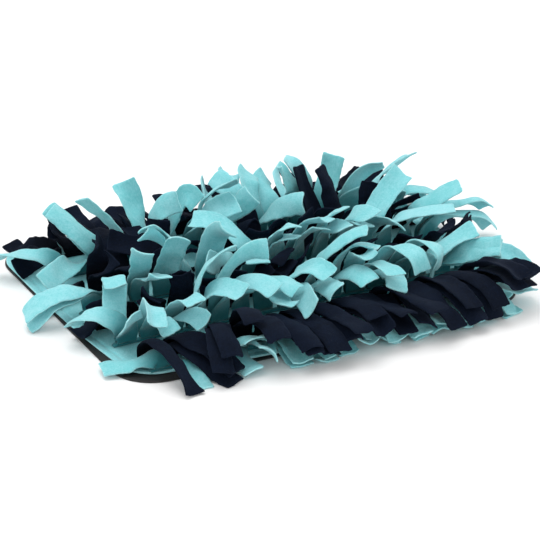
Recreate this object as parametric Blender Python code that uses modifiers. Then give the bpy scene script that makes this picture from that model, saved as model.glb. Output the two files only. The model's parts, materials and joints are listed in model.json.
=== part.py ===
"""Snuffle mat: a fleece ground on a dark backing, with rows of cut fleece fringe sewn across it.

Run with: blender --background --python part.py
Units are metres, +Z up. X runs along the mat's long side, and the origin is under the middle of the backing,
on the floor. Each row is one band of fleece: a heading that is sewn to the ground, and two plies of strips,
cut apart down to the heading, which rise from its front and back edges and fall outward over the next row.
"""

import math
from collections import namedtuple

import bmesh
import bpy
import numpy as np
from mathutils import Vector
from mathutils.bvhtree import BVHTree

# Base.
MAT_LENGTH = 0.450
MAT_DEPTH = 0.350
CORNER_RADIUS = 0.045
CORNER_POINTS = 8
EDGE_POINTS = 6
BACKING_THICKNESS = 0.0020
GROUND_THICKNESS = 0.0024
GROUND_INSET = 0.0015
GROUND_CORNER_INSET = 0.0125
GROUND_CORNER_REACH = 0.095
GROUND_CORNER_SHIFT = 0.020
LAYER_GAP = 0.0003
SOFT_EDGE = 0.0008

# Fringe.
STRIP_PITCH = 0.0254
STRIP_WIDTH = 0.0246
STRIP_THICKNESS = 0.0020
STRIP_LENGTH = 0.091
HEADING_HEIGHT = 0.0030
PLY_SPACING = 0.0048
CLOSED_SPACING = 0.0034
FINE_STEPS = 24
COARSE_STATIONS = (0, 3, 6, 10, 15, 20, 24)
TWIST_SPAN = 0.45
FOLD_SPAN = 0.20

# How the strips are laid: each one is drawn some times, and rises by these steps, in degrees, until it
# clears those already lying. A step costs its degrees, and pushing out another strip costs more, most of all
# one that is rooted further out or was moved before, as does each metre above the pile's crown.
FACE_CLEARANCE = 0.0006
EDGE_CLEARANCE = 0.0002
LIFT_RISES = np.arange(0.0, 60.0, 8.0)
HIGHEST_LIFT = 95.0
STANDOUT_RISES = np.array([0.0, 3.0, -3.0, 6.0, -6.0, 9.0, 12.0, 15.0, 20.0, 25.0])
ATTEMPTS = 12
LAYINGS = 900
LAST_ATTEMPTS = 90
LAST_LAYINGS = 60
GOOD_COST = 16.0
BLOCKER_COST = 30.0
OUTER_SHARE = 2.0
CROWN_COST = 3000.0
SEED = 52

# The pile's middle, how far its front and back reach from it, and where its ends start and how long they are.
PILE_MIDDLE_X = 0.025
PILE_MIDDLE_Y = 0.040
PILE_FRONT_REACH = 0.190
PILE_BACK_REACH = 0.105
PILE_END_START = 0.075
PILE_END_REACH = 0.110
OUTER_PLY_SHARE = 0.002

# Below this height over what is under them the strips turn level; that falls away outside the backing.
LEVEL_HEIGHT = 0.012
FLOOR_FALL_START = 0.003
FLOOR_FALL_END = 0.020

# How strips differ: the range of each as a share of its row's, and for the angles a spread in degrees, and
# the share of the row's own spread that it adds.
DROOP_RANGE = (0.1, 1.9)
BEND_RANGE = (0.75, 1.25)
LENGTH_RANGE = (0.88, 1.08)
WIDTH_RANGE = (0.88, 1.06)
SLANT_SPREAD = 6.0
LIFT_SPREAD = (4.0, 0.20)
SWING_SPREAD = (3.0, 0.55)
ROLL_SPREAD = (3.0, 0.50)
TIP_ROLL_SPREAD = (3.0, 0.65)
FOLD_SPREAD = (0.0, 0.60)
FOLD_RANGE = (0.45, 0.75)
LIKENESS_RANGE = (0.6, 0.95)
SWING_FROM = 0.3
END_SHARE = 0.99

AQUA = (0.24, 0.68, 0.66)
NAVY = (0.008, 0.010, 0.026)
BLACK = (0.006, 0.006, 0.007)

Row = namedtuple("Row", "name colour y first_x strips")
ROWS = (
    Row("fringe_row_1", "aqua", -0.156, -0.1809, 15),
    Row("fringe_row_2", "navy", -0.131, -0.1860, 16),
    Row("fringe_row_3", "aqua", -0.090, -0.1905, 16),
    Row("fringe_row_4", "navy", -0.048, -0.1905, 16),
    Row("fringe_row_5", "aqua", -0.010, -0.1905, 16),
    Row("fringe_row_6", "navy", 0.034, -0.1905, 16),
    Row("fringe_row_7", "aqua", 0.078, -0.1905, 16),
    Row("fringe_row_8", "navy", 0.124, -0.1780, 15),
)

# The way the pile lies, by row, at its left end, in its middle and at its right end: where the strips point
# and how high they stand, in degrees; then how much their tips droop, how soon they bend over, as a share of
# their length, the spread of their ways, and their length at the left end and elsewhere, as a share of the
# common one. A row whose front ply lies another way has a line of its own for that ply.
Lie = namedtuple("Lie", "left_way way right_way left_lift lift right_lift droop bend spread left_length"
                        " length")
LIES = {
    "fringe_row_1": Lie(-100, -90, -76, -12, -14, -12, -8, 0.20, 10, 0.62, 0.62),
    "fringe_row_2": Lie(-100, -90, -68, -8, -8, -6, -52, 0.28, 14, 1.16, 1.16),
    "fringe_row_3": Lie(-146, -90, -40, 10, 8, 8, -76, 0.46, 64, 0.90, 1.08),
    "fringe_row_3_front": Lie(-140, -90, -40, 45, -4, -4, -50, 0.46, 56, 0.60, 1.20),
    "fringe_row_4": Lie(-164, -94, -30, 0, -2, 4, -44, 0.36, 44, 0.62, 0.62),
    "fringe_row_5": Lie(-174, -92, -14, 8, 6, 16, -66, 0.46, 60, 1.10, 1.10),
    "fringe_row_6": Lie(-194, -250, 8, 8, 30, 20, -40, 0.44, 80, 0.70, 0.70),
    "fringe_row_6_front": Lie(-194, -104, 8, 2, 20, 20, -40, 0.44, 80, 0.68, 0.68),
    "fringe_row_7": Lie(-208, -262, 26, 14, 36, 18, -34, 0.42, 70, 1.00, 1.00),
    "fringe_row_7_front": Lie(-190, -110, 0, 18, 48, 22, -46, 0.42, 80, 1.04, 1.04),
    "fringe_row_8": Lie(-222, -270, 44, -2, 4, 2, -26, 0.32, 36, 0.72, 0.72),
    "fringe_row_8_front": Lie(-184, -96, 4, 6, 16, 10, -40, 0.42, 60, 0.66, 0.66),
}
END_ZONE = 0.62

# The height that the pile keeps under, from the mat's front to its back, and the share it loses at the ends.
CROWN = ((-0.25, 0.018), (-0.20, 0.034), (-0.17, 0.050), (-0.13, 0.064), (-0.08, 0.074), (-0.03, 0.082),
         (0.03, 0.087), (0.09, 0.084), (0.12, 0.072), (0.16, 0.056), (0.20, 0.040))
CROWN_END_FALL = 0.35

# A strip's lay, in degrees and metres: the way it points, the height it keeps, the droop that its tip adds,
# the turn along it, its roll about its own line and the roll that its tip adds, the share of its length in
# which it bends over, its fold and the share of its length where that starts, its length, its width, and the
# slant of its cut end.
Lay = namedtuple("Lay", "azimuth lift droop swing roll tip_roll bend fold fold_at length width slant")


# Strips that stand out from the pile: they are laid first, and the rest falls around them. The rows are
# counted from 0 at the front, the plies are -1 in front and 1 behind, and the slots run from the left.
Standout = namedtuple("Standout", "row ply slot azimuth lift droop swing roll bend length")
STANDOUTS = (
    Standout(0, -1, 0, 150, -15, 0, 30, 10, 0.20, 0.066),
    Standout(0, 1, 0, -170, -5, -20, 0, 20, 0.30, 0.060),
    Standout(0, 1, 13, -20, -10, -5, 10, -15, 0.30, 0.088),
    Standout(1, 1, 0, 170, -10, -10, 0, 0, 0.25, 0.070),
    Standout(1, -1, 0, -150, -10, -10, -10, 0, 0.25, 0.070),
    Standout(1, -1, 1, -70, -10, -25, 10, 10, 0.30, 0.100),
    Standout(1, 1, 1, -60, -5, -25, -10, 15, 0.35, 0.096),
    Standout(1, -1, 15, -84, -10, -20, 10, 10, 0.30, 0.080),
    Standout(1, 1, 15, -74, -5, -25, -10, 15, 0.35, 0.086),
    Standout(2, 1, 13, -10, 30, -10, 0, 5, 0.30, 0.080),
    Standout(2, -1, 14, -45, 15, -10, 0, 35, 0.35, 0.080),
    Standout(2, 1, 14, -45, 15, -10, 0, 35, 0.35, 0.080),
    Standout(4, -1, 1, -115, 15, -60, 0, -5, 0.50, 0.100),
    Standout(4, -1, 3, -85, 65, -10, 5, -35, 0.25, 0.088),
    Standout(4, 1, 7, 135, 55, -80, 0, -10, 0.60, 0.100),
    Standout(4, 1, 12, 15, 55, -30, 0, 30, 0.30, 0.100),
    Standout(5, -1, 0, -160, -10, -10, 0, 0, 0.30, 0.068),
    Standout(5, -1, 4, 160, 25, -10, 0, -45, 0.40, 0.078),
    Standout(5, 1, 11, 105, 65, -10, 0, 5, 0.30, 0.084),
    Standout(5, 1, 12, 120, 75, -10, 0, -5, 0.30, 0.080),
    Standout(6, -1, 1, -140, 5, -10, 0, -40, 0.30, 0.090),
    Standout(6, -1, 2, 135, 40, -10, 0, -20, 0.30, 0.084),
    Standout(6, 1, 2, 130, 45, -10, 0, -15, 0.30, 0.088),
    Standout(6, -1, 12, 25, 70, -10, 0, 15, 0.30, 0.074),
    Standout(7, -1, 0, -150, 0, -10, 0, -45, 0.30, 0.066),
    Standout(7, 1, 0, 115, 25, -130, 0, 5, 0.50, 0.084),
)


def smooth(t):
    """Ease from 0 to 1 with level ends."""
    t = np.clip(t, 0.0, 1.0)
    return t * t * (3.0 - 2.0 * t)


def skin_faces(rings):
    """Triangles of a strip's sides and end, with the wide faces' diagonals alike so that they can't cross."""
    faces = []
    for k in range(0, 4 * rings - 4, 4):
        faces += [(k, k + 1, k + 5), (k, k + 5, k + 4), (k + 2, k + 3, k + 6), (k + 3, k + 7, k + 6),
                  (k + 1, k + 2, k + 6), (k + 1, k + 6, k + 5), (k + 3, k, k + 4), (k + 3, k + 4, k + 7)]
    last = 4 * rings
    return faces + [(last - 4, last - 3, last - 2), (last - 4, last - 2, last - 1)]


SKIN_FACES = skin_faces(len(COARSE_STATIONS))

# The corners of a ring, counted round from the front left, by whether they lie to the right and behind.
CORNERS = {(False, False): 0, (True, False): 1, (True, True): 2, (False, True): 3}


def edge_distance(x, y):
    """Distance outside the backing's rounded outline, negative inside it."""
    qx = np.abs(x) - (MAT_LENGTH / 2 - CORNER_RADIUS)
    qy = np.abs(y) - (MAT_DEPTH / 2 - CORNER_RADIUS)
    outside = np.hypot(np.maximum(qx, 0.0), np.maximum(qy, 0.0))
    return outside + np.minimum(np.maximum(qx, qy), 0.0) - CORNER_RADIUS


GROUND_BOTTOM = BACKING_THICKNESS + LAYER_GAP
GROUND_TOP = GROUND_BOTTOM + GROUND_THICKNESS
HEADING_BOTTOM = GROUND_TOP + LAYER_GAP
HEADING_TOP = HEADING_BOTTOM + HEADING_HEIGHT


def resting_height(x, y):
    """Height of what a strip lies on: the ground's top inside, easing to the floor outside the backing."""
    fall = (edge_distance(x, y) - FLOOR_FALL_START) / (FLOOR_FALL_END - FLOOR_FALL_START)
    return (GROUND_TOP + LAYER_GAP) * (1.0 - smooth(fall))


def strip_rings(root, ply, lay, lifts):
    """Corner rings along a strip for each of the lifts, as an array of lifts by stations by 4 corners.

    A core line leaves the heading straight up and bends over to the lift within the bend span. The width
    turns from the heading's line to lie level, plus the roll, and the strip lies half the ply spacing off the
    core line, on its ply's side. Where it would sink into what is under it, it runs on along that, and lies
    level.
    """
    mid = (np.arange(FINE_STEPS) + 0.5) / FINE_STEPS
    bent = (np.asarray(lifts)[:, None] - 90.0) * smooth(mid / lay.bend)
    fold = lay.fold * smooth((mid - lay.fold_at) / FOLD_SPAN)
    lift = np.radians(90.0 + bent + lay.droop * mid**2 + fold)
    azimuth = np.radians(lay.azimuth + lay.swing * (mid - SWING_FROM))
    step = lay.length / FINE_STEPS
    run, rise = step * np.cos(lift), step * np.sin(lift)
    moves = np.stack([run * np.cos(azimuth), run * np.sin(azimuth), rise], axis=-1)
    centres = np.zeros((len(lift), FINE_STEPS + 1, 3))
    centres[:, 1:] = np.cumsum(moves, axis=1)
    centres += root
    if np.any(centres[:, 2:, 2] < resting_height(centres[:, 2:, 0], centres[:, 2:, 1]) + STRIP_THICKNESS / 2):
        for k in range(2, FINE_STEPS):
            here = centres[:, k]
            rest = resting_height(here[:, 0], here[:, 1]) + STRIP_THICKNESS / 2
            lands = here[:, 2] + rise[:, k] < rest
            up = np.where(lands, np.maximum(rest - here[:, 2], -step), rise[:, k])
            along = np.where(lands, np.sqrt(np.maximum(step**2 - up**2, 0.0)), run[:, k])
            centres[:, k + 1, 0] = here[:, 0] + along * np.cos(azimuth[k])
            centres[:, k + 1, 1] = here[:, 1] + along * np.sin(azimuth[k])
            centres[:, k + 1, 2] = here[:, 2] + up
    s = np.arange(FINE_STEPS + 1) / FINE_STEPS
    tangent = np.empty_like(centres)
    tangent[:, 1:-1] = centres[:, 2:] - centres[:, :-2]
    tangent[:, -1] = centres[:, -1] - centres[:, -2]
    tangent[:, 0] = 0.0, 0.0, 1.0
    stations = list(COARSE_STATIONS)
    s, centres, tangent = s[stations], centres[:, stations], tangent[:, stations]
    tangent /= np.linalg.norm(tangent, axis=-1, keepdims=True)
    turn = np.radians(lay.azimuth + lay.swing * (s - SWING_FROM))
    level = np.stack([-np.sin(turn), np.cos(turn), np.zeros_like(s)], axis=1)
    level = level - tangent * np.sum(level * tangent, axis=-1, keepdims=True)
    level /= np.linalg.norm(level, axis=-1, keepdims=True)
    over = np.cross(tangent, level)
    start = -90.0 - math.degrees(turn[0])
    flat = 180.0 * round(start / 180.0)
    above = centres[..., 2] - resting_height(centres[..., 0], centres[..., 1]) - STRIP_THICKNESS / 2
    body = (lay.roll + lay.tip_roll * s**2) * smooth(above / LEVEL_HEIGHT)
    roll = np.radians(start + (flat + body - start) * smooth(s / TWIST_SPAN))[..., None]
    across = np.cos(roll) * level + np.sin(roll) * over
    through = np.cross(tangent, across)
    width = (STRIP_WIDTH + (lay.width - STRIP_WIDTH) * smooth(s / 0.5))[:, None]
    spacing = (PLY_SPACING + (CLOSED_SPACING - PLY_SPACING) * smooth(s / TWIST_SPAN))[:, None]
    centres = centres + through * ply * spacing / 2
    half = across * width / 2
    thick = through * STRIP_THICKNESS / 2
    cut = tangent * (math.tan(math.radians(lay.slant)) * (s > END_SHARE)[:, None] * width / 2)
    rings = np.stack([centres - half - cut - thick, centres + half + cut - thick,
                      centres + half + cut + thick, centres - half - cut + thick], axis=2)
    sunk = resting_height(rings[..., 0], rings[..., 1]) - rings[..., 2]
    rings[:, 1:, :, 2] += np.maximum(sunk[:, 1:].max(axis=-1), 0.0)[..., None]
    return rings


def strip_skin(rings):
    """A search tree of a strip's faces, grown by the clearances, and its box."""
    side = rings[:, 1] - rings[:, 0]
    side *= EDGE_CLEARANCE / np.linalg.norm(side, axis=1)[:, None]
    face = rings[:, 3] - rings[:, 0]
    face *= FACE_CLEARANCE / np.linalg.norm(face, axis=1)[:, None]
    points = (rings + np.stack([-side - face, side - face, side + face, face - side], axis=1)).reshape(-1, 3)
    return BVHTree.FromPolygons(points.tolist(), SKIN_FACES), points.min(axis=0), points.max(axis=0)


def box_tree(low, high):
    """A search tree of a box."""
    corners = [(x, y, z) for x in (low[0], high[0]) for y in (low[1], high[1]) for z in (low[2], high[2])]
    faces = [(0, 1, 3, 2), (4, 6, 7, 5), (0, 4, 5, 1), (2, 3, 7, 6), (0, 2, 6, 4), (1, 5, 7, 3)]
    return BVHTree.FromPolygons(corners, faces), np.array(low), np.array(high)


def above_crown(rings):
    """How far each lift of a strip stands above the pile's crown, in metres."""
    ends = 1.0 - CROWN_END_FALL * (rings[..., 0] / MAT_LENGTH * 2) ** 4
    crown = np.interp(rings[..., 1], *zip(*CROWN)) * ends
    return np.maximum(rings[..., 2] - crown, 0.0).max(axis=(1, 2))


class Pile:
    """What has been laid so far: each thing's search tree and box."""

    def __init__(self):
        self.keys, self.trees, self.lows, self.highs = [], [], np.empty((0, 3)), np.empty((0, 3))

    def add(self, key, skin):
        self.keys.append(key)
        self.trees.append(skin[0])
        self.lows = np.vstack([self.lows, skin[1]])
        self.highs = np.vstack([self.highs, skin[2]])

    def remove(self, key):
        index = self.keys.index(key)
        del self.keys[index], self.trees[index]
        self.lows = np.delete(self.lows, index, axis=0)
        self.highs = np.delete(self.highs, index, axis=0)

    def blockers(self, skin, own):
        """Keys of what a strip's skin touches, but for its own heading."""
        tree, low, high = skin
        near = np.flatnonzero(np.all((self.lows <= high) & (self.highs >= low), axis=1))
        return [self.keys[index] for index in near
                if self.keys[index] != own and self.trees[index].overlap(tree)]


def strip_root(row, slot):
    """Middle of the heading's top at a slot, between the two plies' root faces."""
    return np.array([row.first_x + slot * STRIP_PITCH, row.y, HEADING_TOP])


def between(left, middle, right, place):
    """A value along a row, from -1 at its left end to 1 at its right end, held in the middle."""
    end = smooth((abs(place) - (1.0 - END_ZONE)) / END_ZONE)
    return middle + ((right if place > 0 else left) - middle) * end


def drawn_lay(row, ply, slot, draw, kin):
    """A random lay for a strip, about the way its row lies at that place, or close to a laid neighbour's."""
    lie = LIES[row.name]
    if ply < 0:
        lie = LIES.get(row.name + "_front", lie)
    place = (slot + 0.5) / row.strips * 2.0 - 1.0
    loose = 1.0 - 0.5 * abs(place)
    long = between(lie.left_length, lie.length, lie.length, place)

    def turned(spread):
        own, share = spread
        return draw.normal(0.0, own + share * lie.spread)

    lay = Lay(
        azimuth=between(lie.left_way, lie.way, lie.right_way, place) + draw.normal(0.0, lie.spread * loose),
        lift=between(lie.left_lift, lie.lift, lie.right_lift, place) + turned(LIFT_SPREAD),
        droop=lie.droop * draw.uniform(*DROOP_RANGE),
        swing=turned(SWING_SPREAD),
        roll=turned(ROLL_SPREAD),
        tip_roll=turned(TIP_ROLL_SPREAD),
        bend=lie.bend * draw.uniform(*BEND_RANGE),
        fold=turned(FOLD_SPREAD),
        fold_at=draw.uniform(*FOLD_RANGE),
        length=STRIP_LENGTH * long * draw.uniform(*LENGTH_RANGE),
        width=STRIP_WIDTH * draw.uniform(*WIDTH_RANGE),
        slant=draw.normal(0.0, SLANT_SPREAD),
    )
    if kin is None:
        return lay
    like = draw.uniform(*LIKENESS_RANGE)
    follow = {name: getattr(kin, name) * like + getattr(lay, name) * (1.0 - like)
              for name in ("azimuth", "lift", "swing", "roll", "tip_roll", "bend", "droop", "fold")}
    return lay._replace(**follow)


def outwardness(place):
    """How far out in the pile a strip is rooted: the outermost strips lie lowest."""
    row = ROWS[place[0]]
    x, y, _ = strip_root(row, place[2])
    toward = -1.0 if y < PILE_MIDDLE_Y else 1.0
    front_or_back = abs(y - PILE_MIDDLE_Y) / (PILE_FRONT_REACH if toward < 0 else PILE_BACK_REACH)
    ends = (abs(x - PILE_MIDDLE_X) - PILE_END_START) / PILE_END_REACH
    return max(front_or_back, ends) + OUTER_PLY_SHARE * place[1] * toward


def lay_one(place, pile, lays, draw, moved, attempts, may_push):
    """The lay in which a strip lies lowest and touches least, as its cost, blockers, lay, rings and skin."""
    index, ply, slot = place
    row = ROWS[index]
    root = strip_root(row, slot)
    kin = [lays[key] for key in ((index, -ply, slot), (index, ply, slot + 1), (index, ply, slot - 1))
           if key in lays]
    own_place = outwardness(place)
    best = None
    for attempt in range(attempts):
        follows = kin and attempt % 3 == 2
        near = kin[attempt // 3 % len(kin)] if follows else None
        lay = drawn_lay(row, ply, slot, draw, near)
        lifts = np.minimum(lay.lift + LIFT_RISES, HIGHEST_LIFT)
        rings = strip_rings(root, ply, lay, lifts)
        costs = LIFT_RISES + CROWN_COST * above_crown(rings)
        for choice in np.argsort(costs, kind="stable"):
            if best and costs[choice] >= best[0]:
                break
            skin = strip_skin(rings[choice])
            blockers = pile.blockers(skin, index)
            if any(not may_push or key not in lays for key in blockers):
                continue
            pushed = sum((1 + moved[key]) * (OUTER_SHARE if outwardness(key) > own_place else 1.0)
                         for key in blockers)
            cost = costs[choice] + BLOCKER_COST * pushed
            if best is None or cost < best[0]:
                best = cost, blockers, lay._replace(lift=lifts[choice]), rings[choice], skin
            if not blockers:
                break
        if best and best[0] <= GOOD_COST:
            break
    return best


def lay_standouts(pile):
    """Lay the strips that stand out from the pile, each at the nearest lift at which it is clear."""
    laid = {}
    for one in STANDOUTS:
        place = one.row, one.ply, one.slot
        lay = Lay(one.azimuth, one.lift, one.droop, one.swing, one.roll, 0.0, one.bend, 0.0, 1.0, one.length,
                  STRIP_WIDTH, 0.0)
        root = strip_root(ROWS[one.row], one.slot)
        for rings in strip_rings(root, one.ply, lay, one.lift + STANDOUT_RISES):
            skin = strip_skin(rings)
            if not pile.blockers(skin, one.row):
                laid[place] = rings
                pile.add(place, skin)
                break
    return laid


def lay_strips():
    """Lay every strip, the outermost first, and return the rings of each by row, ply and slot.

    A strip that finds no clear lay pushes out what blocks its best one, which is then laid again. What is
    still out at the end is laid where there is room, or left off the mat.
    """
    pile = Pile()
    for index, row in enumerate(ROWS):
        low = (row.first_x - STRIP_PITCH / 2, row.y - PLY_SPACING / 2 - STRIP_THICKNESS / 2, HEADING_BOTTOM)
        high = (row.first_x + (row.strips - 0.5) * STRIP_PITCH, row.y + PLY_SPACING / 2 + STRIP_THICKNESS / 2,
                HEADING_TOP)
        pile.add(index, box_tree(low, high))
    for drawn_x, drawn_y in ((0.0, CORNER_RADIUS), (CORNER_RADIUS, 0.0)):
        corner = np.array([MAT_LENGTH / 2 - drawn_x, MAT_DEPTH / 2 - drawn_y, GROUND_TOP])
        pile.add("base", box_tree(corner * (-1, -1, 0), corner))
    laid = lay_standouts(pile)
    queue = [(r, ply, slot) for r, row in enumerate(ROWS) for ply in (-1, 1) for slot in range(row.strips)
             if (r, ply, slot) not in laid]
    queue.sort(key=outwardness, reverse=True)
    lays, moved = {}, dict.fromkeys(queue, 0)
    draws = {place: np.random.default_rng((SEED, place[0], place[1] + 1, place[2])) for place in queue}
    for count in range(LAYINGS):
        if not queue:
            break
        place = queue.pop(0)
        pushes = count < LAYINGS - LAST_LAYINGS
        attempts = ATTEMPTS if pushes else LAST_ATTEMPTS
        best = lay_one(place, pile, lays, draws[place], moved, attempts, pushes)
        if best is None:
            if pushes:
                queue.append(place)
            continue
        _, blockers, lays[place], laid[place], skin = best
        for key in blockers:
            pile.remove(key)
            del lays[key], laid[key]
            moved[key] += 1
            queue.append(key)
        pile.add(place, skin)
    return laid


def material(name, colour, roughness):
    """A plain finish of one colour."""
    finish = bpy.data.materials.new(name)
    finish.use_nodes = True
    shader = finish.node_tree.nodes["Principled BSDF"]
    shader.inputs["Base Color"].default_value = (*colour, 1.0)
    shader.inputs["Roughness"].default_value = roughness
    shader.inputs["Metallic"].default_value = 0.0
    return finish


def base_outline(inset):
    """The backing's outline drawn in by inset(x, y): straight edges with round corners, anticlockwise."""
    points = []
    for turn in range(4):
        angle = math.pi / 2 * turn
        centre = Vector((math.copysign(MAT_LENGTH / 2 - CORNER_RADIUS, math.cos(angle + math.pi / 4)),
                         math.copysign(MAT_DEPTH / 2 - CORNER_RADIUS, math.sin(angle + math.pi / 4))))
        for step in range(CORNER_POINTS + 1):
            way = angle + math.pi / 2 * step / CORNER_POINTS
            points.append((centre + Vector((math.cos(way), math.sin(way))) * CORNER_RADIUS, way))
        next_angle = angle + math.pi / 2
        after = Vector((math.copysign(MAT_LENGTH / 2 - CORNER_RADIUS, math.cos(next_angle + math.pi / 4)),
                        math.copysign(MAT_DEPTH / 2 - CORNER_RADIUS, math.sin(next_angle + math.pi / 4))))
        normal = Vector((math.cos(next_angle), math.sin(next_angle))) * CORNER_RADIUS
        for step in range(1, EDGE_POINTS):
            points.append((centre.lerp(after, step / EDGE_POINTS) + normal, next_angle))
    return [point - Vector((math.cos(way), math.sin(way))) * inset(point) for point, way in points]


def sheet(name, outline, bottom, thickness, finish, collection):
    """A flat sheet of the given outline, with softened edges."""
    mesh = bpy.data.meshes.new(name)
    bm = bmesh.new()
    bm.faces.new([bm.verts.new((p.x, p.y, bottom)) for p in outline])
    bm.normal_update()
    bm.to_mesh(mesh)
    bm.free()
    thing = bpy.data.objects.new(name, mesh)
    collection.objects.link(thing)
    mesh.materials.append(finish)
    solidify = thing.modifiers.new("thickness", "SOLIDIFY")
    solidify.thickness = thickness
    solidify.offset = 1.0
    bevel = thing.modifiers.new("soft edge", "BEVEL")
    bevel.width = SOFT_EDGE
    bevel.segments = 1
    bevel.limit_method = "ANGLE"
    bevel.angle_limit = math.radians(50.0)
    return thing


def heading(row):
    """The row's heading, as a bmesh box whose top is split at the strips, and each strip's root face."""
    bm = bmesh.new()
    gap = STRIP_PITCH - STRIP_WIDTH
    xs = [row.first_x - STRIP_WIDTH / 2 - gap]
    for slot in range(row.strips):
        x = row.first_x + slot * STRIP_PITCH
        xs += [x - STRIP_WIDTH / 2, x + STRIP_WIDTH / 2]
    xs.append(xs[-1] + gap)
    inner, outer = (PLY_SPACING - STRIP_THICKNESS) / 2, (PLY_SPACING + STRIP_THICKNESS) / 2
    ys = [row.y - outer, row.y - inner, row.y + inner, row.y + outer]
    columns = len(xs) - 1
    bmesh.ops.create_grid(bm, x_segments=columns, y_segments=3, size=1.0)
    for vert in bm.verts:
        i = round((vert.co.x + 1.0) / 2.0 * columns)
        j = round((vert.co.y + 1.0) / 2.0 * 3)
        vert.co = xs[i], ys[j], HEADING_TOP
    roots = {}
    for face in bm.faces:
        middle = face.calc_center_median()
        slot = round((middle.x - row.first_x) / STRIP_PITCH)
        is_strip = abs(middle.x - row.first_x - slot * STRIP_PITCH) < STRIP_WIDTH / 4
        if is_strip and abs(middle.y - row.y) > inner:
            roots[(1 if middle.y > row.y else -1), slot] = face
    rim = [edge for edge in bm.edges if edge.is_boundary]
    made = bmesh.ops.extrude_edge_only(bm, edges=rim)["geom"]
    low = [item for item in made if isinstance(item, bmesh.types.BMVert)]
    for vert in low:
        vert.co.z = HEADING_BOTTOM
    bmesh.ops.contextual_create(bm, geom=[edge for edge in bm.edges if edge.is_boundary])
    walls = [edge for vert in low for edge in vert.link_edges]
    bmesh.ops.dissolve_limit(bm, angle_limit=math.radians(1.0), verts=low, edges=list(set(walls)))
    return bm, roots


def fringe_row(row, rings, finish, collection):
    """One row as one closed body: its heading, and each strip's root face drawn out ring by ring."""
    bm, roots = heading(row)
    for place, face in roots.items():
        if place not in rings:
            continue
        middle = face.calc_center_median()
        order = [CORNERS[loop.vert.co.x > middle.x, loop.vert.co.y > middle.y] for loop in face.loops]
        below = {corner: loop.vert for corner, loop in zip(order, face.loops)}
        for ring in rings[place][1:]:
            face = bmesh.ops.extrude_discrete_faces(bm, faces=[face])["faces"][0]
            above = {corner: loop.vert for corner, loop in zip(order, face.loops)}
            for corner, vert in above.items():
                vert.co = ring[corner]
            for a, b in ((0, 1), (3, 2)):
                wide = next(f for f in below[a].link_faces
                            if below[b] in f.verts and above[a] in f.verts and above[b] in f.verts)
                bmesh.utils.face_split(wide, below[a], above[b])
            below = above
    bmesh.ops.recalc_face_normals(bm, faces=bm.faces)
    mesh = bpy.data.meshes.new(row.name)
    bm.to_mesh(mesh)
    bm.free()
    mesh.materials.append(finish)
    thing = bpy.data.objects.new(row.name, mesh)
    collection.objects.link(thing)
    return thing


def front_left_inset(point):
    """How far the ground is set in from the backing: more around the front left corner."""
    along = point.x + MAT_LENGTH / 2 - GROUND_CORNER_SHIFT
    away = math.hypot(along, point.y + MAT_DEPTH / 2) / GROUND_CORNER_REACH
    return GROUND_INSET + GROUND_CORNER_INSET * math.exp(-away**2)


def main():
    for thing in list(bpy.data.objects):
        bpy.data.objects.remove(thing, do_unlink=True)
    collection = bpy.data.collections.new("snuffle_mat")
    bpy.context.scene.collection.children.link(collection)
    finishes = {
        "aqua": material("aqua fleece", AQUA, 0.95),
        "navy": material("navy fleece", NAVY, 0.9),
        "black": material("backing cloth", BLACK, 0.9),
    }
    backing_line, ground_line = base_outline(lambda point: 0.0), base_outline(front_left_inset)
    sheet("backing", backing_line, 0.0, BACKING_THICKNESS, finishes["black"], collection)
    sheet("ground", ground_line, GROUND_BOTTOM, GROUND_THICKNESS, finishes["aqua"], collection)
    laid = lay_strips()
    for index, row in enumerate(ROWS):
        own = {(ply, slot): rings for (number, ply, slot), rings in laid.items() if number == index}
        fringe_row(row, own, finishes[row.colour], collection)


if __name__ == "__main__":
    main()
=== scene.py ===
"""Looks of the snuffle mat: fleece strips, ground, backing, seams and the studio around them.

Laid out as a Blender add-on and run as a script. Units are metres, +Z up. Every strip of fringe follows the
rings of its solid in the frame, so the pile stays where the part has it. The small folds of each strip (its
cup, crease, twist, waves and the curl of its cut end) come from seeded draws.
"""

import json
import math
from itertools import permutations

import bmesh
import bpy
import numpy as np
from mathutils import Matrix, Vector


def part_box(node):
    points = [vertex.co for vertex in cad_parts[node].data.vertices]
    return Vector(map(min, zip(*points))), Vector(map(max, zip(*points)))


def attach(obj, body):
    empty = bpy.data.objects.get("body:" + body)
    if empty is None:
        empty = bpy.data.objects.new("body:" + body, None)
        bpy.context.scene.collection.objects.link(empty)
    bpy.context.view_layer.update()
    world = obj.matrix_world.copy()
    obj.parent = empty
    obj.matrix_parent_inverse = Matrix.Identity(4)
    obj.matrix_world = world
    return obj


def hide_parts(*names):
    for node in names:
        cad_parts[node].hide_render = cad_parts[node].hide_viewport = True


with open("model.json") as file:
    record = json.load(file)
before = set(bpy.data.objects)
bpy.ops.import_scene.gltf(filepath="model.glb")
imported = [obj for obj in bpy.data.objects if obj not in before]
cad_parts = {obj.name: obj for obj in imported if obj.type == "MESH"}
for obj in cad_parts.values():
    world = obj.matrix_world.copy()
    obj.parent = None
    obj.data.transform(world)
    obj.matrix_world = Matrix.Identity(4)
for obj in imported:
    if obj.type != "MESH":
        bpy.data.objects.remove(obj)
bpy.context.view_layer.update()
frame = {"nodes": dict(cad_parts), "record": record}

bl_info = {
    "name": "Snuffle mat",
    "version": (1, 0, 0),
    "blender": (4, 5, 0),
    "location": "3D View > Sidebar > Snuffle mat",
    "description": "Makes a fleece snuffle mat: backing, ground, rows of cut fringe and their seams",
    "category": "Object",
}

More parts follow.
